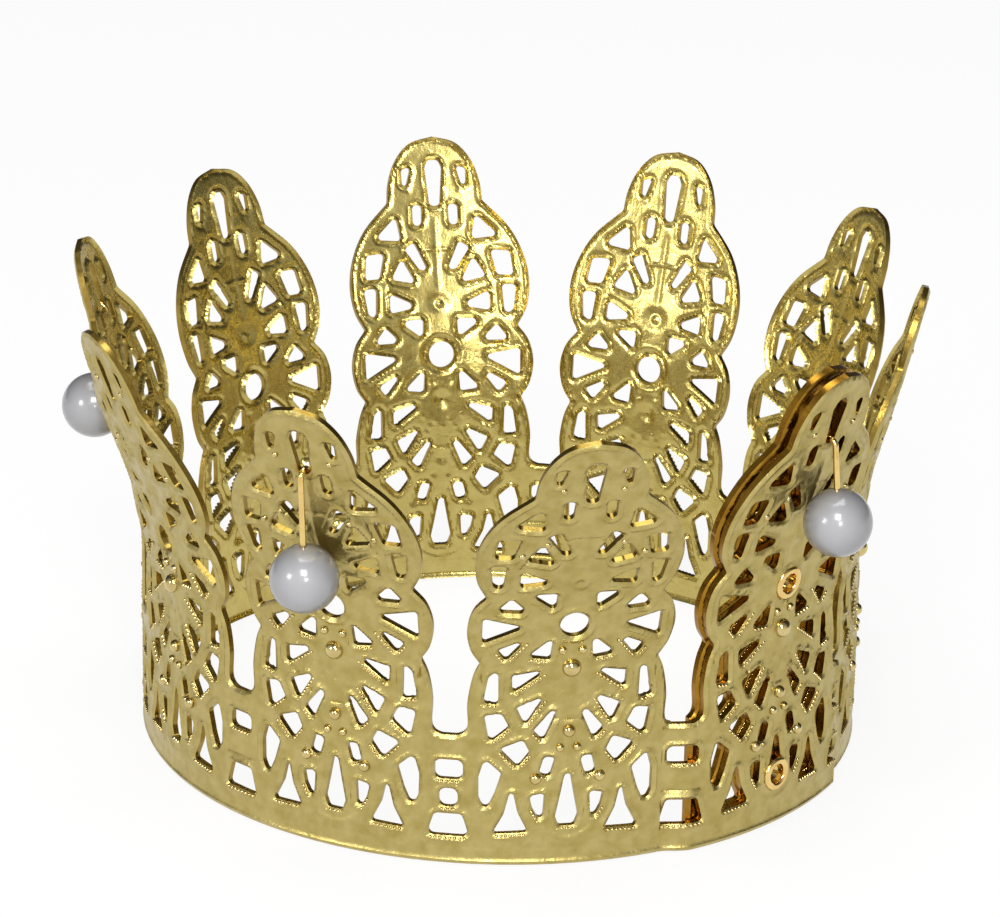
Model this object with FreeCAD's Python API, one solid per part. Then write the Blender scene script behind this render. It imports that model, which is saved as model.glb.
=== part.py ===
"""Filigree crown: one pierced metal strip rolled into a ring of leaning petals.

The strip laps over itself at one petal, where two hollow eyelets hold the layers together.
Three pearls dangle from wire hooks, each hooked through the top window of its petal.
Millimetres, +Z up, the origin on the ring's axis at the bottom edge of the rim.
The front petal faces -Y, and turns are counted from there towards +X.
"""
import FreeCAD
import Part
import math
import os
from FreeCAD import Vector

# The strip, measured flat before it is rolled
petal_count = 10
repeat = 27.6  # from one petal's centre line to the next
sheet = 0.6
rim_height = 3.2
band_height = 16.4
petal_height = 59.3
centre_height = 30.9
centre_hole_radius = 1.7

# The ring is rolled in narrow flats on a round rim, one facing out of each petal and some beside it
side_flats = 1
flat_step = 0.05

# Where the petals bend outwards, as heights along the strip, and how far each stretch leans
lower_bend = 25.3
middle_bend = 35.7
upper_bend = 45.7
middle_lean = 11.0
upper_lean = 20.5
tip_lean = 18.0
# Each petal is bent by hand, so it leans a little more or less, from the front one round to the right
own_lean = (5.9, -4.0, -5.0, -1.5, -3.2, 3.6, -2.5, -1.6, 1.5, 2.0)
lower_share = 0.3
middle_share = 0.9
# The lap's outer layer springs away from the inner one above the upper eyelet
splay = 2.6

# The lap, over the petal to the right of the front one
lap_petal_number = 1
layer_gap = 0.6
step_start = 15.0
step_end = 19.5
stub_end = 19.6
outer_end = 17.7

# Eyelets through both layers
eyelet_radius = 1.5
eyelet_bore = 1.15
eyelet_flange = 2.05
eyelet_lip = 0.3
eyelet_clearance = 0.1
lower_eyelet_height = 6.4

# Pearls on wire hooks
pearl_radius = 4.0
pearl_bore_depth = 4.0
wire_radius = 0.35
wire_fit = 0.02
hook_play = 0.28
hook_seat = 0.2
hook_turn = 62.0
hook_tail = 0.3
window_play = 0.2
pearl_gap = 0.3
pearl_petal_number = {"left": 7, "front_left": 9, "front_right": lap_petal_number}
# How far a pearl's centre hangs below its sill, and the sill and its window below the petal's tip
pearl_drop = 12.6
lap_pearl_drop = 9.4
sill_depth = 8.9
window_depth = 3.4

turn = 360.0 / petal_count
half_turn = turn / 2
flats = 2 * side_flats + 1
facet = turn / flats
ring_radius = petal_count * repeat / (2 * math.pi)
inner_face = ring_radius - sheet + flat_step
lap = sheet + layer_gap
sill_height = petal_height - sill_depth
half_sill = wire_radius + window_play

# The petal's motif is drawn for these heights of band and petal, and stretches with them
drawn_band, drawn_petal = 16.4, 59.3

# The right half of a petal's edge, from the bridge to the tip, as (across, up)
edge = (
    (11.5, drawn_band), (11.75, 20.5), (11.3, 23.6), (10.55, 25.4),
    (11.7, 27.4), (12.25, 30.2), (11.7, 32.6), (10.4, 34.6),
    (11.7, 37.4), (12.05, 40.8), (11.4, 44.0), (9.6, 47.6), (6.45, 50.9),
    (6.1, 53.4), (5.0, 56.4), (3.1, 58.6), (1.0, drawn_petal),
)

# The windows right of the petal's centre line; the left half mirrors them
foot_windows = (
    ((2.8, 8.9), (4.2, 8.6), (3.0, 5.5)),
    ((1.6, 13.4), (2.8, 13.5), (3.3, 11.3), (2.3, 11.1)),
    ((6.45, 9.2), (4.75, 4.2), (8.3, 4.1)),
    ((9.6, 13.0), (7.85, 11.4), (9.5, 7.0), (10.15, 8.2)),
)
lower_fan_windows = (
    ((1.5, 19.3), (2.1, 19.2), (4.0, 16.9), (3.0, 16.0)),
    ((3.1, 21.0), (6.0, 19.7), (5.1, 17.9)),
    ((3.1, 24.4), (6.6, 23.7), (6.5, 22.0)),
    ((8.5, 24.3), (9.1, 23.8), (9.75, 20.6), (8.4, 20.4)),
    ((7.9, 18.8), (9.65, 18.6), (9.1, 15.7), (7.1, 17.4)),
    ((5.35, 15.5), (7.7, 14.5), (5.85, 12.7), (4.75, 14.2)),
)
disc_windows = (
    ((2.4, 28.7), (4.9, 26.5), (2.6, 26.2)),
    ((5.6, 28.5), (8.4, 27.1), (7.6, 26.2)),
    ((6.2, 30.6), (10.3, 31.5), (10.2, 28.5)),
    ((5.7, 32.8), (7.4, 34.4), (8.75, 33.0)),
    ((2.4, 35.3), (5.1, 35.2), (2.5, 33.4)),
)
upper_fan_windows = (
    ((8.6, 39.7), (10.15, 39.7), (9.7, 36.8), (8.8, 36.3)),
    ((3.2, 37.2), (6.6, 38.8), (6.6, 36.8)),
    ((7.3, 44.2), (9.6, 44.1), (9.9, 41.4), (8.0, 41.4)),
    ((3.3, 40.4), (6.1, 41.0), (4.8, 43.2)),
    ((1.6, 42.0), (2.3, 42.1), (4.1, 44.7), (3.1, 45.3)),
    ((4.9, 46.1), (8.0, 46.4), (5.4, 48.7)),
)
tip_windows = (
    ((1.9, 50.2), (2.8, 50.2), (2.8, 48.0), (2.0, 48.0)),
    ((3.2, 55.2), (4.1, 54.9), (4.0, 52.2)),
)
# The teardrop window in the middle of the foot
teardrop = ((0.0, 12.1), (-1.15, 6.0), (-0.75, 5.1), (0.75, 5.1), (1.15, 6.0))
# The bridges take turns between two windows and three, as (across from the bridge's middle, up)
bridge_two = (
    ((-1.5, 11.4), (1.5, 11.4), (1.5, 13.1), (-1.5, 13.1)),
    ((-2.2, 3.7), (2.2, 3.7), (1.4, 6.3), (-1.4, 6.3)),
)
bridge_three = (
    ((-1.5, 10.9), (1.5, 10.9), (1.5, 12.8), (-1.5, 12.8)),
    ((-0.9, 7.4), (0.9, 7.4), (0.9, 9.2), (-0.9, 9.2)),
    ((-2.2, 3.7), (2.2, 3.7), (1.4, 6.0), (-1.4, 6.0)),
)


def stretched(points):
    """The drawn motif at the strip's real heights of band and petal."""
    band, petal = band_height / drawn_band, (petal_height - band_height) / (drawn_petal - drawn_band)
    return [(s, v * band if v <= drawn_band else band_height + (v - drawn_band) * petal) for s, v in points]


def form(number, outer=False):
    """How a petal is bent: its own lean, and what the lap's outer layer adds above the eyelet."""
    return own_lean[number], splay if outer else 0.0


def stretches(bend):
    """The stretches of a petal's height, each with its top along the strip and its lean."""
    own, spring = bend
    return (
        (band_height, 0.0),
        (lower_bend, lower_share * own),
        (middle_bend, middle_lean + middle_share * own),
        (upper_bend, upper_lean + own + spring),
        (petal_height + sheet, tip_lean + own + spring),
    )


def along(height, bend):
    """How far out of the ring's wall and how high a point lies that is this far up the strip."""
    out, up, start = 0.0, 0.0, 0.0
    for top, lean in stretches(bend):
        part = min(height, top) - start
        out += part * math.sin(math.radians(lean))
        up += part * math.cos(math.radians(lean))
        start = top
        if height <= top:
            break
    return out, up


def lean_at(height, bend):
    return next(lean for top, lean in stretches(bend) if height <= top)


def across(distance):
    """The sideways place of a point that is this far along the strip from the centre line."""
    return ring_radius * math.sin(distance / ring_radius)


def polar(radius, angle):
    return Vector(radius * math.cos(math.radians(angle)), radius * math.sin(math.radians(angle)), 0)


def on_flat(distance, angle):
    """A point of the flats' polygon, whose flats lie this far from the axis."""
    middle = round(angle / facet) * facet
    return polar(distance / math.cos(math.radians(angle - middle)), angle)


def wall_plan(start, end, offset):
    """The wall seen from above, between two angles from the petal's centre line."""
    borders = [(i + 0.5) * facet for i in range(-flats, flats)]
    angles = [start] + [b for b in borders if start + 0.01 < b < end - 0.01] + [end]
    points = [on_flat(inner_face + offset, a) for a in angles]
    points += [on_flat(inner_face + offset + sheet, a) for a in reversed(angles)]
    return Part.Face(Part.makePolygon(points + points[:1]))


def through(points, bend):
    """A cutter through the wall in the petal's facing direction, with this outline on the strip."""
    corners = [Vector(ring_radius / 2, across(s), along(v, bend)[1]) for s, v in points]
    face = Part.Face(Part.makePolygon(corners + corners[:1]))
    return face.extrude(Vector(ring_radius, 0, 0))


def round_hole(height, radius, bend):
    """A cutter square to the sheet at this height on the centre line."""
    out, up = along(height, bend)
    tilt = math.radians(lean_at(height, bend))
    facing = Vector(math.cos(tilt), 0, -math.sin(tilt))
    middle = Vector(inner_face + out, 0, up)
    return Part.makeCylinder(radius, 4 * lap, middle - facing * lap, facing)


def hook_window():
    """The tip's window on the centre line, which widens upwards from the sill that carries a hook."""
    top = petal_height - window_depth
    wide = half_sill + 2 * window_play
    return [(-half_sill, sill_height), (half_sill, sill_height), (wide, top), (-wide, top)]


def mirrored(points):
    return [(-s, v) for s, v in points]


def bridge_cutters(windows, side):
    cutters = [through(stretched(points), form(0)) for points in windows]
    for cutter in cutters:
        cutter.rotate(Vector(0, 0, 0), Vector(0, 0, 1), side * half_turn)
    return cutters


def petal_cutters(bend):
    half = foot_windows + lower_fan_windows + disc_windows + upper_fan_windows + tip_windows
    cutters = [through(stretched(points), bend) for points in half]
    cutters += [through(stretched(mirrored(points)), bend) for points in half]
    cutters += [through(stretched(teardrop), bend), through(hook_window(), bend)]
    cutters.append(round_hole(centre_height, centre_hole_radius, bend))
    return cutters


def petal_wall(bend, start, end, offset):
    """A petal and its half of each bridge, without windows."""
    plan = wall_plan(start, end, offset)
    plan.translate(Vector(0, 0, rim_height))
    out, up = 0.0, rim_height
    wall = None
    for top, lean in stretches(bend):
        next_out, next_up = along(top, bend)
        piece = plan.extrude(Vector(next_out - out, 0, next_up - up))
        wall = piece if wall is None else wall.fuse(piece)
        plan.translate(Vector(next_out - out, 0, next_up - up))
        out, up = next_out, next_up
    petal_edge = stretched(edge)
    outline = [(repeat, 0.0), (repeat, band_height)] + petal_edge
    outline += mirrored(reversed(petal_edge)) + [(-repeat, band_height), (-repeat, 0.0)]
    return wall.common(through(outline, bend))


def rim(start, end, offset):
    outer = Part.makeCylinder(ring_radius + offset, rim_height, Vector(0, 0, 0), Vector(0, 0, 1), end - start)
    inner = Part.makeCylinder(ring_radius - sheet + offset, rim_height)
    ring = outer.cut(inner)
    ring.rotate(Vector(0, 0, 0), Vector(0, 0, 1), start)
    return ring


def step_plate():
    """The bridge that steps out from the inner layer to the outer one, left of the lap's petal."""
    first, last = step_start - turn, step_end - turn
    points = [on_flat(inner_face, first), on_flat(inner_face + sheet, first)]
    points += [on_flat(inner_face + lap + sheet, last), on_flat(inner_face + lap, last)]
    face = Part.Face(Part.makePolygon(points + points[:1]))
    return face.extrude(Vector(0, 0, band_height))


def lower_eyelet_cutter():
    return round_hole(lower_eyelet_height, eyelet_radius + eyelet_clearance, form(lap_petal_number))


def faced(shape, petal):
    """Turns a shape from facing +X to its petal's direction."""
    shape.rotate(Vector(0, 0, 0), Vector(0, 0, 1), petal * turn - 90)
    return shape


def inner_petal(number):
    bend = form(number)
    start, end = -half_turn, half_turn
    right = bridge_three if number % 2 else bridge_two
    left = bridge_two if number % 2 else bridge_three
    cutters = petal_cutters(bend)
    if number == lap_petal_number - 1:
        end = step_start
    else:
        cutters += bridge_cutters(right, 1)
    if number == lap_petal_number:
        start = stub_end - turn
        cutters.append(lower_eyelet_cutter())
    else:
        cutters += bridge_cutters(left, -1)
    return faced(petal_wall(bend, start, end, 0.0).cut(Part.makeCompound(cutters)), number)


def outer_layer():
    bend = form(lap_petal_number, outer=True)
    start = step_end - turn
    wall = petal_wall(bend, start, outer_end, lap)
    wall = wall.fuse([step_plate(), rim(start, outer_end, lap)])
    cutters = petal_cutters(bend) + [lower_eyelet_cutter()]
    cutters += bridge_cutters(bridge_two, -1) + bridge_cutters(bridge_three, 1)
    return faced(wall.cut(Part.makeCompound(cutters)), lap_petal_number)


def filigree_band():
    whole_rim = rim(stub_end - 90, 360 + step_start - 90, 0.0)
    pieces = [inner_petal(number) for number in range(petal_count)] + [outer_layer()]
    return whole_rim.fuse(pieces)


def eyelet(height):
    """A hollow rivet through both layers, with a lip on each side, facing out of the sheet."""
    bend = form(lap_petal_number)
    tilt = lean_at(height, bend)
    grip = (lap + sheet) * math.cos(math.radians(tilt))
    lip_edge = eyelet_flange - eyelet_lip
    inner_lip = (-eyelet_lip, eyelet_bore), (-eyelet_lip, lip_edge), (-eyelet_lip / 3, eyelet_flange)
    shank = (0, eyelet_flange), (0, eyelet_radius), (grip, eyelet_radius), (grip, eyelet_flange)
    outer_lip = [(grip - out, radius) for out, radius in reversed(inner_lip)]
    points = [Vector(out, radius, 0) for out, radius in [*inner_lip, *shank, *outer_lip]]
    body = Part.Face(Part.makePolygon(points + points[:1])).revolve(Vector(0, 0, 0), Vector(1, 0, 0), 360)
    body.rotate(Vector(0, 0, 0), Vector(0, 1, 0), tilt)
    out, up = along(height, bend)
    body.translate(Vector(inner_face + out, 0, up))
    return faced(body, lap_petal_number)


class Hanging:
    """A pearl and its hook: where they hang, in the petal's own plane, as (out, up)."""

    def __init__(self, petal):
        self.petal = petal
        self.bow = sheet / 2 + wire_radius + hook_play
        # The hook's bow runs over the sill and swings about its own centre, just below the sill
        self.middle = Vector(0, 0, hook_seat + wire_radius - self.bow)
        lapped = petal == lap_petal_number
        self.drop = lap_pearl_drop if lapped else pearl_drop
        bend = form(petal, outer=lapped)
        wall = inner_face + lap if lapped else inner_face
        out, up = along(sill_height, bend)
        self.sill = Vector(wall + out + sheet / 2, 0, up)
        # The pearl hangs plumb below the sill, or leans on the petal if that stands in its way
        lean = math.radians(lean_at(upper_bend, bend))
        foot_out, foot_up = along(upper_bend, bend)
        foot = Vector(wall + foot_out + sheet, 0, foot_up)
        facing = Vector(math.cos(lean), 0, -math.sin(lean))
        level = (self.sill - foot).dot(facing)
        swing = math.asin((pearl_radius + pearl_gap - level) / self.drop) - lean
        self.swing = max(0.0, math.degrees(swing))

    def place(self, shape):
        shape.rotate(Vector(0, 0, 0), Vector(0, 1, 0), -self.swing)
        shape.translate(self.sill)
        return faced(shape, self.petal)

    def hinge(self):
        """The point that the hook swings about, and the hinge's axis along the sill."""
        point = self.place(Part.Vertex(self.middle)).Point
        along_sill = faced(Part.Vertex(Vector(0, -1, 0)), self.petal).Point
        return point, along_sill

    def hook(self):
        """A wire from the pearl's bore up and over the sill, whose middle is the origin."""
        bow, middle = self.bow, self.middle
        reach = self.drop + middle.z
        # The stem touches the bow where it points straight at the pearl's centre
        tip_angle = -math.asin(bow / reach)
        top = middle + Vector(bow * math.cos(tip_angle), 0, bow * math.sin(tip_angle))
        centre = Vector(0, 0, -self.drop)
        stem_end = centre + (top - centre).normalize() * (pearl_radius - pearl_bore_depth + wire_fit)
        last_angle = math.radians(90 + hook_turn)
        last = middle + Vector(bow * math.cos(last_angle), 0, bow * math.sin(last_angle))
        tail = last + Vector(-math.sin(last_angle), 0, math.cos(last_angle)) * hook_tail
        stem = Part.makeCylinder(wire_radius, (top - stem_end).Length, stem_end, top - stem_end)
        sweep = math.degrees(last_angle - tip_angle)
        bend = Part.makeTorus(bow, wire_radius, Vector(0, 0, 0), Vector(0, 0, 1), -180, 180, sweep)
        bend.rotate(Vector(0, 0, 0), Vector(1, 0, 0), 90)
        bend.rotate(Vector(0, 0, 0), Vector(0, 1, 0), -math.degrees(tip_angle))
        bend.translate(middle)
        end = Part.makeCylinder(wire_radius, hook_tail, last, tail - last)
        return self.place(stem.fuse([bend, end]))

    def pearl(self):
        """A ball, drilled from the top towards its centre for the wire."""
        tilt = math.asin(self.bow / (self.drop + self.middle.z))
        ball = Part.makeSphere(pearl_radius)
        bottom = Vector(0, 0, pearl_radius - pearl_bore_depth)
        ball = ball.cut(Part.makeCylinder(wire_radius + wire_fit, 2 * pearl_radius, bottom))
        ball.rotate(Vector(0, 0, 0), Vector(0, 1, 0), math.degrees(tilt))
        ball.translate(Vector(0, 0, -self.drop))
        return self.place(ball)


def main():
    os.makedirs("parts", exist_ok=True)
    nodes = {"filigree_band": filigree_band()}
    nodes["eyelet_upper"] = eyelet(centre_height)
    nodes["eyelet_lower"] = eyelet(lower_eyelet_height)
    for name, petal in pearl_petal_number.items():
        hanging = Hanging(petal)
        nodes["hook_" + name] = hanging.hook()
        nodes["pearl_" + name] = hanging.pearl()
        point, axis = hanging.hinge()
        print(name, "hinge", [round(c, 4) for c in point], "axis", [round(c, 6) for c in axis])
    for name, shape in nodes.items():
        print(name, shape.isValid(), len(shape.Solids), "volume", round(shape.Volume, 3))
        shape.exportStep("parts/" + name + ".step")


main()
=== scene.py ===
import math

import bpy
import numpy as np
from mathutils import Matrix, Vector


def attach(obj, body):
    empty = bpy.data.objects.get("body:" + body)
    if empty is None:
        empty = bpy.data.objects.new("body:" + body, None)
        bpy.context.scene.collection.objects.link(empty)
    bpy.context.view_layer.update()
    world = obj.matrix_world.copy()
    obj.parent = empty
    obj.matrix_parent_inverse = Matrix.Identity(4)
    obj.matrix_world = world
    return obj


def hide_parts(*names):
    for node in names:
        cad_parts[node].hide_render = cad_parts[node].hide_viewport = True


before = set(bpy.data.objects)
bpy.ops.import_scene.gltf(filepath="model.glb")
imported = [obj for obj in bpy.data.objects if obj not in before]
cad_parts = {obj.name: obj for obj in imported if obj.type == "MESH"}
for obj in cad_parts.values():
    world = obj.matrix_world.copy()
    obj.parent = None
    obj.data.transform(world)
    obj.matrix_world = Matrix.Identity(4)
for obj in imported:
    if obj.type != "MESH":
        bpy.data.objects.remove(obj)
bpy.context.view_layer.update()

# The studio: a white table and backdrop, soft boxes in front, low in front, above and on the left, and a room
# that is darker on the right and behind. The camera stands where the photograph's did, left of the front
# petal and a little above the crown.
bpy.context.scene.view_settings.view_transform = "Standard"
aim = Vector((0.0, 0.0, 0.0254))
distance, elevation, bearing, roll = 0.5603, math.radians(21.82), math.radians(10.76), math.radians(1.19)
level_reach = math.cos(elevation)
back = Vector((-math.sin(bearing) * level_reach, -math.cos(bearing) * level_reach, math.sin(elevation)))
camera_data = bpy.data.cameras.new("camera")
camera_data.sensor_width = 36.0
camera_data.lens = 164.9
camera_data.shift_x = -0.0018
camera_data.shift_y = 0.0614
camera_data.clip_start, camera_data.clip_end = 0.01, 10.0
camera = bpy.data.objects.new("camera", camera_data)
bpy.context.scene.collection.objects.link(camera)
turned = (-back).to_track_quat("-Z", "Y").to_matrix() @ Matrix.Rotation(roll, 3, "Z")
camera.matrix_world = Matrix.Translation(aim + back * distance) @ turned.to_4x4()
bpy.context.scene.camera = camera


def soft_box(name, place, size, watts):
    """A square area lamp that faces the crown's middle."""
    crown_middle = Vector((0.0, 0.0, 0.03))
    data = bpy.data.lights.new(name, "AREA")
    data.energy, data.size = watts, size
    lamp = bpy.data.objects.new(name, data)
    bpy.context.scene.collection.objects.link(lamp)
    lamp.location = place
    lamp.rotation_euler = (crown_middle - Vector(place)).to_track_quat("-Z", "Y").to_euler()


soft_box("soft_box_front", (-0.16, -0.70, 0.60), 0.26, 4.4)
soft_box("soft_box_low", (-0.05, -0.85, 0.30), 0.14, 1.3)
soft_box("soft_box_top", (0.0, 0.05, 0.8), 0.5, 3.6)
soft_box("soft_box_left", (-0.68, -0.38, 0.3), 0.2, 1.5)

# The room: brightest to the left front, dark opposite, less bright overhead, and white where the camera looks
world = bpy.data.worlds.new("studio")
bpy.context.scene.world = world
world.use_nodes = True
air = world.node_tree.nodes
wire = world.node_tree.links
air.clear()
air_out = air.new("ShaderNodeOutputWorld")
room = air.new("ShaderNodeBackground")
direction = air.new("ShaderNodeTexCoord")
parts = air.new("ShaderNodeSeparateXYZ")
wire.new(direction.outputs["Generated"], parts.inputs[0])
ceiling = air.new("ShaderNodeMapRange")
ceiling.inputs["From Min"].default_value, ceiling.inputs["From Max"].default_value = 0.15, 0.85
ceiling.inputs["To Min"].default_value, ceiling.inputs["To Max"].default_value = 0.85, 0.3
wire.new(parts.outputs["Z"], ceiling.inputs["Value"])
facing = air.new("ShaderNodeVectorMath")
facing.operation = "DOT_PRODUCT"
facing.inputs[1].default_value = (-0.42, -0.91, 0.0)
wire.new(direction.outputs["Generated"], facing.inputs[0])
walls = air.new("ShaderNodeMapRange")
walls.interpolation_type = "SMOOTHSTEP"
walls.inputs["From Min"].default_value, walls.inputs["From Max"].default_value = -0.35, 0.65
walls.inputs["To Min"].default_value, walls.inputs["To Max"].default_value = 0.1, 1.0
wire.new(facing.outputs["Value"], walls.inputs["Value"])
room_level = air.new("ShaderNodeMath")
room_level.operation = "MULTIPLY"
wire.new(ceiling.outputs["Result"], room_level.inputs[0])
wire.new(walls.outputs["Result"], room_level.inputs[1])
wire.new(room_level.outputs[0], room.inputs["Strength"])
room.inputs["Color"].default_value = (1, 1, 1, 1)
white_air = air.new("ShaderNodeBackground")
white_air.inputs["Color"].default_value = (1, 1, 1, 1)
path = air.new("ShaderNodeLightPath")
mix_air = air.new("ShaderNodeMixShader")
wire.new(path.outputs["Is Camera Ray"], mix_air.inputs[0])
wire.new(room.outputs[0], mix_air.inputs[1])
wire.new(white_air.outputs[0], mix_air.inputs[2])
wire.new(mix_air.outputs[0], air_out.inputs[0])

# The table top: matt white to the lamps, and mostly glowing to the camera and to reflections
floor_mesh = bpy.data.meshes.new("table_top")
floor_mesh.from_pydata([(-3, -3, 0), (3, -3, 0), (3, 3, 0), (-3, 3, 0)], [], [(0, 1, 2, 3)])
floor = bpy.data.objects.new("table_top", floor_mesh)
floor.location.z = -0.0002
bpy.context.scene.collection.objects.link(floor)
floor_paint = bpy.data.materials.new("white_table")
floor_paint.use_nodes = True
floor_nodes, floor_links = floor_paint.node_tree.nodes, floor_paint.node_tree.links
floor_nodes.clear()
floor_out = floor_nodes.new("ShaderNodeOutputMaterial")
floor_white = floor_nodes.new("ShaderNodeBsdfDiffuse")
floor_white.inputs["Color"].default_value = (0.9, 0.9, 0.9, 1)
floor_glow = floor_nodes.new("ShaderNodeEmission")
floor_path = floor_nodes.new("ShaderNodeLightPath")
floor_seen = floor_nodes.new("ShaderNodeMath")
floor_seen.operation = "MULTIPLY"
floor_seen.inputs[1].default_value = 0.86
floor_mix = floor_nodes.new("ShaderNodeMixShader")
floor_shown = floor_nodes.new("ShaderNodeMath")
floor_shown.operation = "MAXIMUM"
floor_links.new(floor_path.outputs["Is Camera Ray"], floor_shown.inputs[0])
floor_links.new(floor_path.outputs["Is Glossy Ray"], floor_shown.inputs[1])
floor_links.new(floor_shown.outputs[0], floor_seen.inputs[0])
floor_links.new(floor_seen.outputs[0], floor_mix.inputs[0])
floor_links.new(floor_white.outputs[0], floor_mix.inputs[1])
floor_links.new(floor_glow.outputs[0], floor_mix.inputs[2])
floor_links.new(floor_mix.outputs[0], floor_out.inputs[0])
floor_mesh.materials.append(floor_paint)

# The band: a strip of brass sheet, stamped with petals and their veins, pierced, and gilt all over.
# It is rolled into a ring of ten petals, and its ends lap at the petal to the right of the front one.
# Each petal is built on its own grid, in millimetres across and up the flat strip, and then rolled and bent.
petals, repeat, sheet, mm = 10, 27.6, 0.6, 0.001
ring_radius = petals * repeat / (2 * math.pi)
half = repeat / 2
band_top, petal_height = 16.2, 59.3
centre_height, centre_hole = 30.9, 1.7
lower_height, lower_hole = 6.4, 1.6
# The lips stand just proud of the plain sheet's face, and the ground between them lies a little under it
proud = 0.05
outer_face = ring_radius + proud
# The thickness between the lips, what each window is widened by, and how far its edge turns into the crown
gauge, opened, turned_in = 0.5, 0.16, 0.15
# How far the lap's outer layer stands out, and where across the petal it climbs to that, in degrees
lap, climb_from, climb_wide = 1.2, -21.0, 4.5
# Each petal's own lean in degrees, from the front one round to its left, and what the outer layer adds
own_lean, splay = (5.9, -4.0, -5.0, -1.5, -3.2, 3.6, -2.5, -1.6, 1.5, 2.0), 2.6
# The stretches of a petal, as (top, degrees of lean, share of its own lean, share of the splay)
stretches = (
    (16.4, 0.0, 0.0, 0), (25.3, 0.0, 0.3, 0), (35.7, 11.0, 0.9, 0), (45.7, 20.5, 1.0, 1), (99.0, 18.0, 1.0, 1),
)
step = 0.25

edge_lobes = (
    ((12.9, 16.2), (12.1, 16.6), (11.7, 17.6), (11.8, 20.4), (11.3, 23.4), (10.5, 25.4)),
    ((10.5, 25.4), (11.7, 27.3), (12.25, 30.1), (11.7, 32.8), (10.3, 34.7)),
    ((10.3, 34.7), (11.6, 37.2), (12.1, 40.6), (11.5, 44.1), (9.7, 47.6), (6.4, 50.9)),
    ((6.4, 50.9), (6.1, 53.6), (5.0, 56.4), (3.0, 58.5), (0.0, 59.3)),
)
# The windows right of the centre line, each with the radius of its corners
foot_windows = (
    (((2.8, 8.9), (4.2, 8.6), (3.9, 7.2), (3.0, 5.5)), 0.25),
    (((1.6, 13.4), (2.7, 13.5), (3.2, 11.6), (2.2, 11.3)), 0.35),
    (((6.5, 9.3), (5.9, 6.6), (4.75, 4.3), (8.4, 4.1), (7.2, 6.4)), 0.12),
    (((9.6, 13.1), (7.85, 11.5), (8.6, 9.0), (9.5, 7.0), (10.15, 8.4), (10.2, 11.0)), 0.35),
)
lower_fan_windows = (
    (((1.5, 19.4), (2.1, 19.2), (4.0, 16.9), (3.0, 15.9)), 0.25),
    (((3.1, 21.1), (6.0, 19.8), (5.1, 17.9)), 0.2),
    (((3.1, 24.5), (6.6, 23.8), (6.5, 22.0)), 0.2),
    (((8.5, 24.4), (9.3, 23.6), (9.8, 20.6), (8.4, 20.4)), 0.25),
    (((7.9, 18.9), (9.7, 18.7), (9.1, 15.7), (7.1, 17.4)), 0.3),
    (((5.35, 15.6), (7.8, 14.6), (5.85, 12.6), (4.65, 14.2)), 0.25),
)
disc_windows = (
    (((2.4, 28.8), (4.9, 26.5), (2.6, 26.2)), 0.25),
    (((5.5, 28.7), (8.5, 27.2), (7.6, 26.1)), 0.25),
    (((6.0, 30.6), (10.4, 31.6), (10.3, 28.4)), 0.2),
    (((5.7, 32.8), (7.5, 34.6), (8.9, 32.9)), 0.3),
    (((2.4, 35.4), (5.2, 35.3), (2.5, 33.3)), 0.3),
)
upper_fan_windows = (
    (((8.6, 39.8), (10.2, 39.8), (9.7, 36.8), (8.8, 36.2)), 0.35),
    (((3.2, 37.2), (6.6, 38.9), (6.6, 36.7)), 0.3),
    (((7.3, 44.3), (9.6, 44.2), (9.9, 41.3), (8.0, 41.3)), 0.35),
    (((3.2, 40.3), (6.2, 41.0), (4.8, 43.3)), 0.25),
    (((1.5, 41.9), (2.4, 42.1), (4.2, 44.7), (3.1, 45.4)), 0.25),
    (((4.9, 46.0), (8.1, 46.4), (5.4, 48.9)), 0.3),
)
tip_windows = (
    (((1.9, 50.3), (2.9, 50.3), (2.9, 47.9), (2.0, 47.9)), 0.4),
    (((3.2, 55.3), (4.2, 55.0), (4.1, 52.1)), 0.2),
)
centre_windows = (
    (((0.0, 12.4), (-0.7, 8.6), (-1.2, 6.1), (-0.8, 5.0), (0.8, 5.0), (1.2, 6.1), (0.7, 8.6)), 0.25),
    (((-0.55, 50.4), (0.55, 50.4), (1.0, 55.2), (0.6, 56.1), (-0.6, 56.1), (-1.0, 55.2)), 0.4),
)
bridge_two = (
    (((-1.5, 11.3), (1.5, 11.3), (1.5, 13.2), (-1.5, 13.2)), 0.55),
    (((-2.3, 3.6), (2.3, 3.6), (1.5, 6.4), (-1.5, 6.4)), 0.3),
)
bridge_three = (
    (((-1.5, 10.8), (1.5, 10.8), (1.5, 12.9), (-1.5, 12.9)), 0.6),
    (((-0.95, 7.3), (0.95, 7.3), (0.95, 9.3), (-0.95, 9.3)), 0.7),
    (((-2.3, 3.6), (2.3, 3.6), (1.5, 6.1), (-1.5, 6.1)), 0.45),
)
# Polished studs, as (across, up, radius, height), and rows of pin-head beads under the windows
studs = (
    (0.0, 25.0, 1.15, 1.05), (1.15, 27.35, 0.5, 0.45), (0.0, 16.9, 0.75, 0.68), (1.0, 14.8, 0.5, 0.45),
    (3.75, 11.0, 0.7, 0.62), (3.4, 52.3, 0.38, 0.3), (7.0, 41.9, 0.4, 0.35), (4.35, 43.8, 0.35, 0.28),
)
bead_radius, bead_height, bead_pitch, bead_offset = 0.24, 0.24, 0.56, 0.42
bead_side, bead_metal, bead_margin, beads_from, beads_to = 0.9, 0.16, 0.2, 0.8, 30.0
bridge_half, crease_height = 2.3, 7.8


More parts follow.
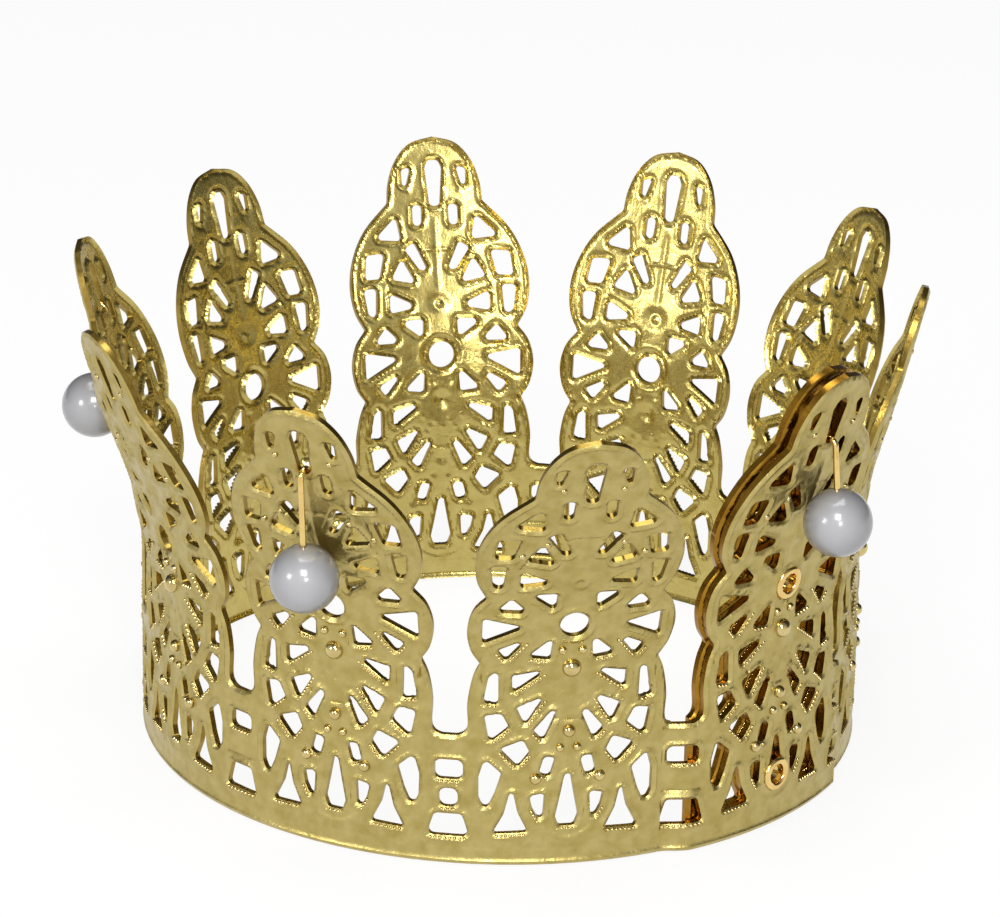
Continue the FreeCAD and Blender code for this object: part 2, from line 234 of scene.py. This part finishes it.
def smooth_line(points, each=10):
    """Catmull-Rom curve through the points: cubic pieces whose slopes follow the neighbours."""
    p = np.array(points, float)
    p = np.vstack([2 * p[0] - p[1], p, 2 * p[-1] - p[-2]])
    t = np.linspace(0, 1, each, endpoint=False)[:, None]
    a, b, c, d = p[:-3, None], p[1:-2, None], p[2:-1, None], p[3:, None]
    line = 0.5 * (2 * b + (c - a) * t + (2 * a - 5 * b + 4 * c - d) * t**2 + (3 * b - a - 3 * c + d) * t**3)
    return np.vstack([line.reshape(-1, 2), p[-2]])


def outline_distance(points, s, v):
    """Distance from grid points to a closed polygon: to its nearest edge, and positive inside."""
    p = np.array(points, float)
    best = np.full(s.shape, 1e9)
    inside = np.zeros(s.shape, bool)
    for (x0, y0), (x1, y1) in zip(p, np.roll(p, -1, axis=0)):
        dx, dy = x1 - x0, y1 - y0
        t = np.clip(((s - x0) * dx + (v - y0) * dy) / (dx * dx + dy * dy + 1e-12), 0, 1)
        best = np.minimum(best, (s - x0 - t * dx) ** 2 + (v - y0 - t * dy) ** 2)
        crosses = ((y0 > v) != (y1 > v)) & (s < x0 + (v - y0) * dx / (dy if dy else 1e-12))
        inside ^= crosses
    return np.where(inside, 1, -1) * np.sqrt(best)


def shrunk(points, by):
    """A convex polygon with each side moved inwards by the same amount, cut where neighbouring sides meet."""
    p = np.array(points, float)
    if np.sum(p[:, 0] * np.roll(p[:, 1], -1) - p[:, 1] * np.roll(p[:, 0], -1)) < 0:
        p = p[::-1]
    side = np.roll(p, -1, axis=0) - p
    n = np.stack([-side[:, 1], side[:, 0]], 1) / np.linalg.norm(side, axis=1)[:, None]
    level = np.sum(n * p, axis=1) + by
    before, level_before = np.roll(n, 1, axis=0), np.roll(level, 1)
    det = before[:, 0] * n[:, 1] - before[:, 1] * n[:, 0]
    det = np.where(np.abs(det) < 1e-6, 1e-6, det)
    x = (level_before * n[:, 1] - level * before[:, 1]) / det
    y = (before[:, 0] * level - n[:, 0] * level_before) / det
    return np.stack([x, y], 1)


def window_list(number, outer):
    """Every window that touches this petal, as (polygon, corner radius) across and up the strip."""
    right_windows = foot_windows + lower_fan_windows + disc_windows + upper_fan_windows + tip_windows
    left_windows = [([(-x, y) for x, y in p], r) for p, r in right_windows]
    found = [*right_windows, *left_windows, *centre_windows]
    right = bridge_three if number % 2 else bridge_two
    left = bridge_two if number % 2 else bridge_three
    if number != 0:
        found += [([(x + half, y) for x, y in p], r) for p, r in right]
    if number != 1 or outer:
        found += [([(x - half, y) for x, y in p], r) for p, r in left]
    return found


def lean_profile(number, outer):
    """How far out and how high each point up the strip lies: running sums of the lean's sine and cosine."""
    own, spring = own_lean[number], splay if outer else 0.0
    fine = np.linspace(-2.0, 62.0, 1281)
    below = [fine < top for top, _, _, _ in stretches]
    lean = np.select(below, [base + share * own + sprung * spring for _, base, share, sprung in stretches])
    # The bends are spread over 3.5 mm to either side
    reach = 70
    span = 2 * reach + 1
    lean = np.convolve(np.pad(lean, reach, mode="edge"), np.ones(span) / span, mode="valid")
    pace = fine[1] - fine[0]
    tilt = np.radians((lean[1:] + lean[:-1]) / 2)
    out = np.concatenate([[0], np.cumsum(np.sin(tilt) * pace)])
    up = np.concatenate([[0], np.cumsum(np.cos(tilt) * pace)]) + fine[0]
    return fine, out, up, lean


def rolled(s, v, w, number, outer, shape):
    """A place across, up and out of the flat strip, rolled to the ring's radius, leant out and turned."""
    fine, out, up, lean = shape
    radius = outer_face + np.zeros_like(s)
    angle = s / ring_radius
    if outer:
        climb = np.clip((np.degrees(angle) - climb_from) / climb_wide, 0, 1)
        climb = climb * climb * (3 - 2 * climb)
        radius = radius + lap * climb
        angle = angle + climb * (np.arcsin(outer_face * np.sin(angle) / radius) - angle)
    side = radius * np.sin(angle)
    tilt = np.radians(np.interp(v, fine, lean))
    x = radius * np.cos(angle) + np.interp(v, fine, out)
    z = np.interp(v, fine, up)
    nx, ny, nz = np.cos(angle) * np.cos(tilt), np.sin(angle) * np.cos(tilt), -np.cos(angle) * np.sin(tilt)
    size = np.sqrt(nx**2 + ny**2 + nz**2)
    x, y, z = x + w * nx / size, side + w * ny / size, z + w * nz / size
    turn = math.radians(number * 360 / petals - 90)
    c, q = math.cos(turn), math.sin(turn)
    return np.stack([x * c - y * q, x * q + y * c, z], -1) * mm


# Marching squares: for each pattern of inside corners, the polygons of a grid cell.
# Numbers 0 to 3 are the cell's corners, and 4 to 7 the cuts on its bottom, right, top and left sides.
cell_faces = {
    1: [(0, 4, 7)], 2: [(1, 5, 4)], 3: [(0, 1, 5, 7)], 4: [(2, 6, 5)], 5: [(0, 4, 7), (2, 6, 5)],
    6: [(1, 2, 6, 4)], 7: [(0, 1, 2, 6, 7)], 8: [(3, 7, 6)], 9: [(0, 4, 6, 3)], 10: [(1, 5, 4), (3, 7, 6)],
    11: [(0, 1, 5, 6, 3)], 12: [(2, 3, 7, 5)], 13: [(0, 4, 5, 2, 3)], 14: [(1, 2, 3, 7, 4)],
    15: [(0, 1, 2, 3)],
}


def pierced_grid(s, v, metal):
    """Triangles and border edges of the part of a grid where metal is positive, cut where it crosses zero."""
    rows, columns = metal.shape
    solid = metal > 0
    t = np.clip(metal[:, :-1] / (metal[:, :-1] - metal[:, 1:] + 1e-12), 0.03, 0.97)
    cut_s = np.stack([s[:, :-1] + t * (s[:, 1:] - s[:, :-1]), v[:, :-1]], -1)
    t = np.clip(metal[:-1] / (metal[:-1] - metal[1:] + 1e-12), 0.03, 0.97)
    cut_v = np.stack([s[:-1], v[:-1] + t * (v[1:] - v[:-1])], -1)
    points = np.vstack([np.stack([s, v], -1).reshape(-1, 2), cut_s.reshape(-1, 2), cut_v.reshape(-1, 2)])
    node = np.arange(rows * columns).reshape(rows, columns)
    along_s = rows * columns + np.arange(rows * (columns - 1)).reshape(rows, columns - 1)
    first_v = rows * columns + rows * (columns - 1)
    along_v = first_v + np.arange((rows - 1) * columns).reshape(rows - 1, columns)
    ids = np.stack([
        node[:-1, :-1], node[:-1, 1:], node[1:, 1:], node[1:, :-1],
        along_s[:-1], along_v[:, 1:], along_s[1:], along_v[:, :-1],
    ], -1).reshape(-1, 8)
    kind = (solid[:-1, :-1] + 2 * solid[:-1, 1:] + 4 * solid[1:, 1:] + 8 * solid[1:, :-1]).ravel()
    faces = []
    for pattern, polygons in cell_faces.items():
        here = ids[kind == pattern]
        for polygon in polygons:
            for k in range(1, len(polygon) - 1):
                faces.append(here[:, [polygon[0], polygon[k], polygon[k + 1]]])
    faces = np.vstack(faces)
    used, inverse = np.unique(faces.ravel(), return_inverse=True)
    faces = inverse.reshape(-1, 3)
    edges = np.vstack([faces[:, [0, 1]], faces[:, [1, 2]], faces[:, [2, 0]]])
    count = len(used)
    border = edges[~np.isin(edges[:, 0] * count + edges[:, 1], edges[:, 1] * count + edges[:, 0])]
    return points[used], faces, border


def bump(s, v, at, radius):
    """A round swelling: one at its middle, falling smoothly to zero at its radius."""
    t = np.clip(1 - ((s - at[0]) ** 2 + (v - at[1]) ** 2) / radius**2, 0, 1)
    return t * t


def relief(s, v, rim):
    """The stamped surface: lips round the windows, rings, veins, dimples and the line above the plain rim."""
    w = 0.18 * np.exp(-(((rim - 0.45) / 0.2) ** 2)) - 0.16 - 0.12 * np.clip(1 - rim / 0.28, 0, 1) ** 2
    side = np.abs(s)
    # The swellings under the lower stud and in the upper fan, whose middle is dimpled
    w = w + 0.2 * bump(s, v, (0, 24.3), 2.8)
    w = w + 0.34 * bump(s, v, (0, 37.6), 1.9) - 0.4 * bump(s, v, (0, 37.4), 0.75)
    for at in ((1.0, 22.2), (1.7, 21.4), (2.1, 20.5), (0.0, 21.4), (2.6, 22.9)):
        w = w - 0.14 * bump(side, v, at, 0.38)
    ring = np.hypot(s, v - centre_height)
    w = w + 0.1 * np.exp(-(((ring - 2.35) / 0.25) ** 2)) - 0.06 * np.exp(-(((ring - 2.9) / 0.2) ** 2))
    w = w + 0.14 * np.exp(-((side / 0.3) ** 2)) * np.clip(v - 39, 0, 1) * np.clip(49 - v, 0, 1)
    # Incised arcs, as (height of the centre, radius, from, to)
    for up, wide, low, high in ((25.0, 6.7, 10.0, 25.0), (25.0, 10.4, 16.4, 27.0), (37.4, 7.2, 37.0, 47.0)):
        arc = np.exp(-(((np.hypot(s, v - up) - wide) / 0.16) ** 2))
        w = w - 0.16 * arc * np.clip(v - low, 0, 1) * np.clip(high - v, 0, 1)
    scallop = np.hypot(s, v - 6.9)
    w = w + 0.14 * np.exp(-(((scallop - 3.6) / 0.26) ** 2)) * np.clip(5.2 - v, 0, 1)
    fan_line = np.exp(-(((np.abs(np.hypot(side - 6.6, v - 5.2)) - 3.2) / 0.2) ** 2)) * np.clip(4.0 - v, 0, 1)
    rim_line = np.exp(-(((v - 2.2) / 0.2) ** 2))
    return w + 0.06 * fan_line - 0.06 * rim_line


def beads_under(points):
    """Places of the beads along a window's lower sides, a little outside them."""
    p = np.array(points, float)
    middle = p.mean(0)
    found = []
    for a, b in zip(p, np.roll(p, -1, axis=0)):
        run = b - a
        length = np.hypot(*run)
        normal = np.array([run[1], -run[0]]) / (length + 1e-9)
        if np.dot(normal, (a + b) / 2 - middle) < 0:
            normal = -normal
        if normal[1] < -0.45 and length > bead_side and middle[1] < beads_to:
            count = max(2, int((length + 0.4) / bead_pitch))
            t = (np.arange(count) + 0.5) / count
            found.append(a + t[:, None] * run + normal * bead_offset)
    return np.vstack(found) if found else np.zeros((0, 2))


def domes(places, radii, heights, around, rings):
    """Round heads standing on the face: rings of points on a half ellipsoid, sunk a little into the sheet."""
    sunk = 0.12
    a = np.arange(around) * 2 * math.pi / around
    b = np.linspace(0, math.pi / 2, rings + 1)[:-1]
    ring_s = np.cos(b)[:, None] * np.cos(a)
    ring_v = np.cos(b)[:, None] * np.sin(a)
    ring_w = np.repeat(np.sin(b)[:, None], around, 1)
    unit = np.vstack([np.stack([ring_s, ring_v, ring_w], -1).reshape(-1, 3), [[0, 0, 1]]])
    k = np.arange(around)
    faces = []
    for r in range(rings - 1):
        low, high = r * around + k, (r + 1) * around + k
        low_next, high_next = r * around + (k + 1) % around, (r + 1) * around + (k + 1) % around
        faces += [np.stack([low, low_next, high_next], -1), np.stack([low, high_next, high], -1)]
    top = (rings - 1) * around
    faces.append(np.stack([top + k, top + (k + 1) % around, np.full(around, rings * around)], -1))
    faces.append(np.stack([np.zeros(around - 2, int), k[2:], k[1:-1]], -1))
    faces = np.vstack(faces)
    points = places[:, None, :] + unit[None, :, :2] * radii[:, None, None]
    height = unit[None, :, 2] * heights[:, None] - sunk
    faces = faces[None] + (np.arange(len(places)) * len(unit))[:, None, None]
    return points.reshape(-1, 2), height.ravel(), faces.reshape(-1, 3)


def gilt_group():
    """Gold plate's colour, roughness and surface: a cloudy tone, a satin grain, waves and drawing lines."""
    group = bpy.data.node_groups.new("gold_plate", "ShaderNodeTree")
    face = group.interface
    for name, kind in (("Gold", "Color"), ("Deep gold", "Color"), ("Roughness", "Float"), ("Grain", "Float")):
        face.new_socket(name, in_out="INPUT", socket_type="NodeSocket" + kind)
    face.new_socket("Color", in_out="OUTPUT", socket_type="NodeSocketColor")
    face.new_socket("Roughness", in_out="OUTPUT", socket_type="NodeSocketFloat")
    face.new_socket("Normal", in_out="OUTPUT", socket_type="NodeSocketVector")
    nodes, links = group.nodes, group.links
    given, made = nodes.new("NodeGroupInput"), nodes.new("NodeGroupOutput")
    place = nodes.new("ShaderNodeTexCoord")
    cloud = nodes.new("ShaderNodeTexNoise")
    cloud.inputs["Scale"].default_value = 600.0
    cloud.inputs["Detail"].default_value = 3.0
    grain = nodes.new("ShaderNodeTexNoise")
    grain.inputs["Scale"].default_value = 3500.0
    grain.inputs["Detail"].default_value = 2.0
    waves = nodes.new("ShaderNodeTexNoise")
    waves.inputs["Scale"].default_value = 900.0
    for noise in (cloud, grain, waves):
        links.new(place.outputs["Object"], noise.inputs["Vector"])
    # The drawing lines of the rolled sheet: noise drawn out up the petals
    drawn = nodes.new("ShaderNodeVectorMath")
    drawn.operation = "MULTIPLY"
    drawn.inputs[1].default_value = (1.0, 1.0, 0.06)
    links.new(place.outputs["Object"], drawn.inputs[0])
    lines = nodes.new("ShaderNodeTexNoise")
    lines.inputs["Scale"].default_value = 2600.0
    links.new(drawn.outputs[0], lines.inputs["Vector"])
    # A colour mix has its two colours in inputs 6 and 7 and its result in output 2
    blend = nodes.new("ShaderNodeMix")
    blend.data_type = "RGBA"
    ramp = nodes.new("ShaderNodeMapRange")
    ramp.inputs["From Min"].default_value = 0.35
    ramp.inputs["From Max"].default_value = 0.75
    links.new(cloud.outputs["Fac"], ramp.inputs["Value"])
    links.new(ramp.outputs["Result"], blend.inputs["Factor"])
    links.new(given.outputs["Gold"], blend.inputs[6])
    links.new(given.outputs["Deep gold"], blend.inputs[7])
    links.new(blend.outputs[2], made.inputs["Color"])
    rough = nodes.new("ShaderNodeMath")
    rough.operation = "MULTIPLY_ADD"
    links.new(waves.outputs["Fac"], rough.inputs[0])
    rough.inputs[1].default_value = 0.16
    less = nodes.new("ShaderNodeMath")
    less.operation = "SUBTRACT"
    links.new(given.outputs["Roughness"], less.inputs[0])
    less.inputs[1].default_value = 0.08
    links.new(less.outputs[0], rough.inputs[2])
    links.new(rough.outputs[0], made.inputs["Roughness"])
    height = nodes.new("ShaderNodeMath")
    height.operation = "MULTIPLY_ADD"
    links.new(grain.outputs["Fac"], height.inputs[0])
    height.inputs[1].default_value = 0.25
    with_lines = nodes.new("ShaderNodeMath")
    with_lines.operation = "MULTIPLY_ADD"
    with_lines.inputs[1].default_value = 0.35
    links.new(lines.outputs["Fac"], with_lines.inputs[0])
    links.new(waves.outputs["Fac"], with_lines.inputs[2])
    links.new(with_lines.outputs[0], height.inputs[2])
    bumps = nodes.new("ShaderNodeBump")
    bumps.inputs["Distance"].default_value = 0.00012
    links.new(given.outputs["Grain"], bumps.inputs["Strength"])
    links.new(height.outputs[0], bumps.inputs["Height"])
    links.new(bumps.outputs["Normal"], made.inputs["Normal"])
    return group


gold_plate = gilt_group()


def gilt(name, gold, deep, roughness, grain):
    """A gold-plated metal with its own tone, gloss and strength of grain."""
    paint = bpy.data.materials.new(name)
    paint.use_nodes = True
    nodes, links = paint.node_tree.nodes, paint.node_tree.links
    surface = nodes["Principled BSDF"]
    surface.inputs["Metallic"].default_value = 1.0
    plate = nodes.new("ShaderNodeGroup")
    plate.node_tree = gold_plate
    plate.inputs["Gold"].default_value = (*gold, 1)
    plate.inputs["Deep gold"].default_value = (*deep, 1)
    plate.inputs["Roughness"].default_value = roughness
    plate.inputs["Grain"].default_value = grain
    links.new(plate.outputs["Color"], surface.inputs["Base Color"])
    links.new(plate.outputs["Roughness"], surface.inputs["Roughness"])
    links.new(plate.outputs["Normal"], surface.inputs["Normal"])
    return paint


gilt_face = gilt("gilt_face", (0.51, 0.415, 0.155), (0.40, 0.31, 0.09), 0.36, 0.8)
gilt_inside = gilt("gilt_inside", (0.56, 0.46, 0.155), (0.47, 0.36, 0.1), 0.27, 0.5)
# The windows' cut walls: a darker, deeper copy of the gold, painted shade and painted gold-on-gold reflection
# of the recessed edges
gilt_cut_painted_shade = gilt("gilt_cut_painted_shade", (0.36, 0.25, 0.06), (0.24, 0.15, 0.02), 0.3, 0.3)
# A deeper, darker gold for the lap's inner face and cut edges: painted reflection of gold in gold and painted
# shade between the layers
gilt_painted_reflection = gilt("gilt_painted_reflection", (0.36, 0.19, 0.022), (0.24, 0.11, 0.01), 0.27, 0.2)
gilt_polished = gilt("gilt_polished", (0.66, 0.53, 0.24), (0.5, 0.38, 0.14), 0.04, 0.02)
gilt_wire = gilt("gilt_wire", (0.85, 0.62, 0.24), (0.72, 0.48, 0.15), 0.12, 0.05)
petal_paints = (gilt_face, gilt_inside, gilt_cut_painted_shade, gilt_polished, gilt_painted_reflection)
face_slot, inside_slot, cut_shade_slot, stud_slot, painted_reflection_slot = range(5)


def mesh_piece(name, points, faces, materials, slots=None, crease=38):
    """A finished piece from arrays, shaded smooth except across its sharp edges."""
    mesh = bpy.data.meshes.new(name)
    mesh.from_pydata(points, [], faces)
    for paint in materials:
        mesh.materials.append(paint)
    if slots is not None:
        mesh.polygons.foreach_set("material_index", slots.astype(np.int32))
    mesh.shade_smooth()
    mesh.set_sharp_from_angle(angle=math.radians(crease))
    mesh.update()
    piece = bpy.data.objects.new(name, mesh)
    bpy.context.scene.collection.objects.link(piece)
    return piece


def sample(field, places, low, pace):
    """A grid's values at places between its points, blended from the four around each."""
    i = np.clip((places[:, 0] - low) / pace, 0, field.shape[1] - 1.001)
    j = np.clip((places[:, 1] + 2 * step) / step, 0, field.shape[0] - 1.001)
    i0, j0 = i.astype(int), j.astype(int)
    ti, tj = i - i0, j - j0
    low_row = field[j0, i0] * (1 - ti) + field[j0, i0 + 1] * ti
    high_row = field[j0 + 1, i0] * (1 - ti) + field[j0 + 1, i0 + 1] * ti
    return low_row * (1 - tj) + high_row * tj


def strip_petal(name, number, start, end, outer=False):
    """One petal with its halves of the bridges beside it, from start to end across the strip."""
    # Only the strip's own two ends get a cut edge: the inner layer's start and the outer layer's end
    starts_here = number == 1 and not outer
    columns = round((end - start) / step)
    pace = (end - start) / columns
    low = start - 2 * pace * starts_here
    columns += 2 * (starts_here + outer)
    across = low + np.arange(columns + 1) * pace
    s, v = np.meshgrid(across, np.arange(-2 * step, petal_height + 3 * step, step))
    right = np.vstack([smooth_line(lobe) for lobe in edge_lobes])
    left = right[::-1] * [-1, 1]
    outline = np.vstack([[(-20, 0), (20, 0), (20, band_top)], right, left, [(-20, band_top)]])
    rim = outline_distance(outline, s, v)
    windows = window_list(number, outer)
    for polygon, radius in windows:
        p = np.array(polygon)
        near_across = np.abs(s - p[:, 0].mean()) < np.ptp(p[:, 0]) + 2
        near = near_across & (np.abs(v - p[:, 1].mean()) < np.ptp(p[:, 1]) + 2)
        clear = -radius - outline_distance(shrunk(polygon, radius), s[near], v[near]) - opened
        rim[near] = np.minimum(rim[near], clear)
    rim = np.minimum(rim, np.hypot(s, v - centre_height) - centre_hole)
    if number == 1:
        rim = np.minimum(rim, np.hypot(s, v - lower_height) - lower_hole)
    if outer:
        rim = np.minimum(rim, end - s)
    if starts_here:
        rim = np.minimum(rim, s - start)
    # The front petal's band goes on as the lap's outer layer, which its lobes stand clear of
    metal = np.where(v < band_top, np.minimum(rim, lap_start - s), rim) if number == 0 else rim
    flat, faces, border = pierced_grid(s, v, metal)
    shape = lean_profile(number, outer)
    edge_distance = sample(rim, flat, low, pace)
    stud = np.array([(k * x, y, r, h) for x, y, r, h in studs for k in ((1, -1) if x else (1,))])
    stud = stud[(stud[:, 0] > start) & (stud[:, 0] < end)]
    face_height = relief(flat[:, 0], flat[:, 1], edge_distance)
    # A bridge of two windows has a crease across its middle
    bridge = np.abs(np.abs(flat[:, 0]) - half) < bridge_half
    of_two = (flat[:, 0] > 0) == (number % 2 == 0)
    crease = np.exp(-(((flat[:, 1] - crease_height) / 0.16) ** 2)) * bridge * of_two
    face_height = face_height - 0.16 * crease
    # The back: a shallow pit behind each stud, and the windows' edges turned in, deeper where the layers lap
    inward = 2 * turned_in if number == 1 else turned_in
    pits = sum(h * 0.35 * bump(flat[:, 0], flat[:, 1], (x, y), r * 1.3) for x, y, r, h in stud)
    back_height = face_height - gauge + pits - inward * np.clip(1 - edge_distance / 0.5, 0, 1) ** 2
    front = rolled(flat[:, 0], flat[:, 1], face_height, number, outer, shape)
    back_points = rolled(flat[:, 0], flat[:, 1], back_height, number, outer, shape)
    count = len(flat)
    a, b = border[:, 0], border[:, 1]
    wall = np.vstack([np.stack([a, a + count, b + count], -1), np.stack([a, b + count, b], -1)])
    all_faces = [faces, faces[:, ::-1] + count, wall]
    # Painted reflection and shade: the lap's inner face and the cut edges of both its layers get a deeper,
    # darker gold that stands for gold mirrored in gold between the layers
    slots = [
        np.full(len(faces), painted_reflection_slot if starts_here else face_slot), np.full(len(faces), inside_slot),
        np.full(len(wall), painted_reflection_slot if number == 1 else cut_shade_slot),
    ]
    points = [front, back_points]
    total = 2 * count
    # The studs and beads, where there is metal under them
    bead = np.vstack([beads_under(p) for p, _ in windows])
    last = lap_start if number == 0 else end
    within = (bead[:, 0] > start + bead_margin) & (bead[:, 0] < last - bead_margin)
    bead = bead[within & (bead[:, 1] > beads_from)]
    bead = bead[sample(rim, bead, low, pace) > bead_metal]
    for places, radii, heights, around, rings in (
        (stud[:, :2], stud[:, 2], stud[:, 3], 20, 7),
        (bead, np.full(len(bead), bead_radius), np.full(len(bead), bead_height), 7, 3),
    ):
        flat_places, height, dome_faces = domes(places, radii, heights, around, rings)
        points.append(rolled(flat_places[:, 0], flat_places[:, 1], height, number, outer, shape))
        all_faces.append(dome_faces + total)
        slots.append(np.full(len(dome_faces), stud_slot))
        total += len(flat_places)
    piece = mesh_piece(name, np.vstack(points), np.vstack(all_faces), petal_paints, np.concatenate(slots))
    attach(piece, "crown")
    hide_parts("filigree_band")


# The strip's outer end leaves the front petal's band at 15 degrees, and its inner end stops under the climb
lap_start = math.radians(15.0) * ring_radius
outer_end, inner_start = 13.9, math.radians(-16.4) * ring_radius
strip_petal("petal_front", 0, -half, half)
strip_petal("petal_lap_outer", 1, lap_start - repeat, outer_end, outer=True)
strip_petal("petal_lap_inner", 1, inner_start, half)
for number in range(2, petals):
    strip_petal("petal_%d" % number, number, -half, half)

# The eyelets: two hollow rivets of thin brass tube through both layers of the lap.
# Each is rolled over at both ends into a rounded lip.
eyelet_bore, eyelet_shank, eyelet_flange, lip = 1.15, 1.5, 2.05, 0.34


def eyelet(name, height):
    """A tube with a half-round lip at each end, its outline swept round, square to the outer layer."""
    curl = np.linspace(0, math.pi, 13)
    middle, wide = (eyelet_bore + eyelet_flange) / 2, (eyelet_flange - eyelet_bore) / 2
    outer_lip = np.stack([middle - wide * np.cos(curl), lip * np.sin(curl)], 1)
    inner_lip = np.stack([middle + wide * np.cos(curl), -lap - sheet - lip * np.sin(curl)], 1)
    loop = np.vstack([outer_lip, [(eyelet_shank, 0.0), (eyelet_shank, -lap - sheet)], inner_lip])
    around = 48
    turn = np.arange(around) * 2 * math.pi / around
    radius = np.repeat(loop[:, :1], around, 1)
    flat = np.stack([radius * np.cos(turn), height + radius * np.sin(turn)], -1).reshape(-1, 2)
    points = rolled(flat[:, 0], flat[:, 1], np.repeat(loop[:, 1], around), 1, True, lean_profile(1, True))
    k, n = np.arange(around), len(loop)
    faces = []
    for r in range(n):
        low, high = r * around + k, (r + 1) % n * around + k
        low_next, high_next = np.roll(low, -1), np.roll(high, -1)
        faces.append(np.stack([low, high, high_next, low_next], -1))
    piece = mesh_piece(name + "_rolled", points, np.vstack(faces), (gilt_wire,), crease=60)
    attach(piece, "crown")
    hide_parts(name)


eyelet("eyelet_upper", centre_height)
eyelet("eyelet_lower", lower_height)

# The pearls: plastic beads under a pearly coat, each on a hook of round brass wire glued into its bore.
# The hook goes over the sill of the petal's top window.
pearl_coat = bpy.data.materials.new("pearl_coat")
pearl_coat.use_nodes = True
coat_nodes, coat_links = pearl_coat.node_tree.nodes, pearl_coat.node_tree.links
coat_surface = coat_nodes["Principled BSDF"]
coat_surface.inputs["Roughness"].default_value = 0.3
coat_surface.inputs["Coat Weight"].default_value = 0.9
coat_surface.inputs["Coat Roughness"].default_value = 0.12
coat_tone = coat_nodes.new("ShaderNodeTexNoise")
coat_tone.inputs["Scale"].default_value = 180.0
coat_place = coat_nodes.new("ShaderNodeTexCoord")
coat_links.new(coat_place.outputs["Object"], coat_tone.inputs["Vector"])
coat_mix = coat_nodes.new("ShaderNodeMix")
coat_mix.data_type = "RGBA"
coat_mix.inputs[6].default_value = (0.30, 0.30, 0.325, 1)
coat_mix.inputs[7].default_value = (0.35, 0.345, 0.345, 1)
coat_links.new(coat_tone.outputs["Fac"], coat_mix.inputs["Factor"])
# Painted shade: the pearls' colour darkens towards their outline, standing in for the dark room mirrored at
# their sides
painted_shade_facing = coat_nodes.new("ShaderNodeLayerWeight")
painted_shade_facing.inputs["Blend"].default_value = 0.5
pearl_painted_edge_shade = coat_nodes.new("ShaderNodeMix")
pearl_painted_edge_shade.data_type = "RGBA"
pearl_painted_edge_shade.inputs[7].default_value = (0.12, 0.12, 0.125, 1)
coat_links.new(painted_shade_facing.outputs["Facing"], pearl_painted_edge_shade.inputs["Factor"])
coat_links.new(coat_mix.outputs[2], pearl_painted_edge_shade.inputs[6])
coat_links.new(pearl_painted_edge_shade.outputs[2], coat_surface.inputs["Base Color"])
for place in ("left", "front_left", "front_right"):
    for node, paint in (("hook_" + place, gilt_wire), ("pearl_" + place, pearl_coat)):
        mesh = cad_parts[node].data
        mesh.materials.clear()
        mesh.materials.append(paint)
        mesh.shade_smooth()
        mesh.set_sharp_from_angle(angle=math.radians(35))
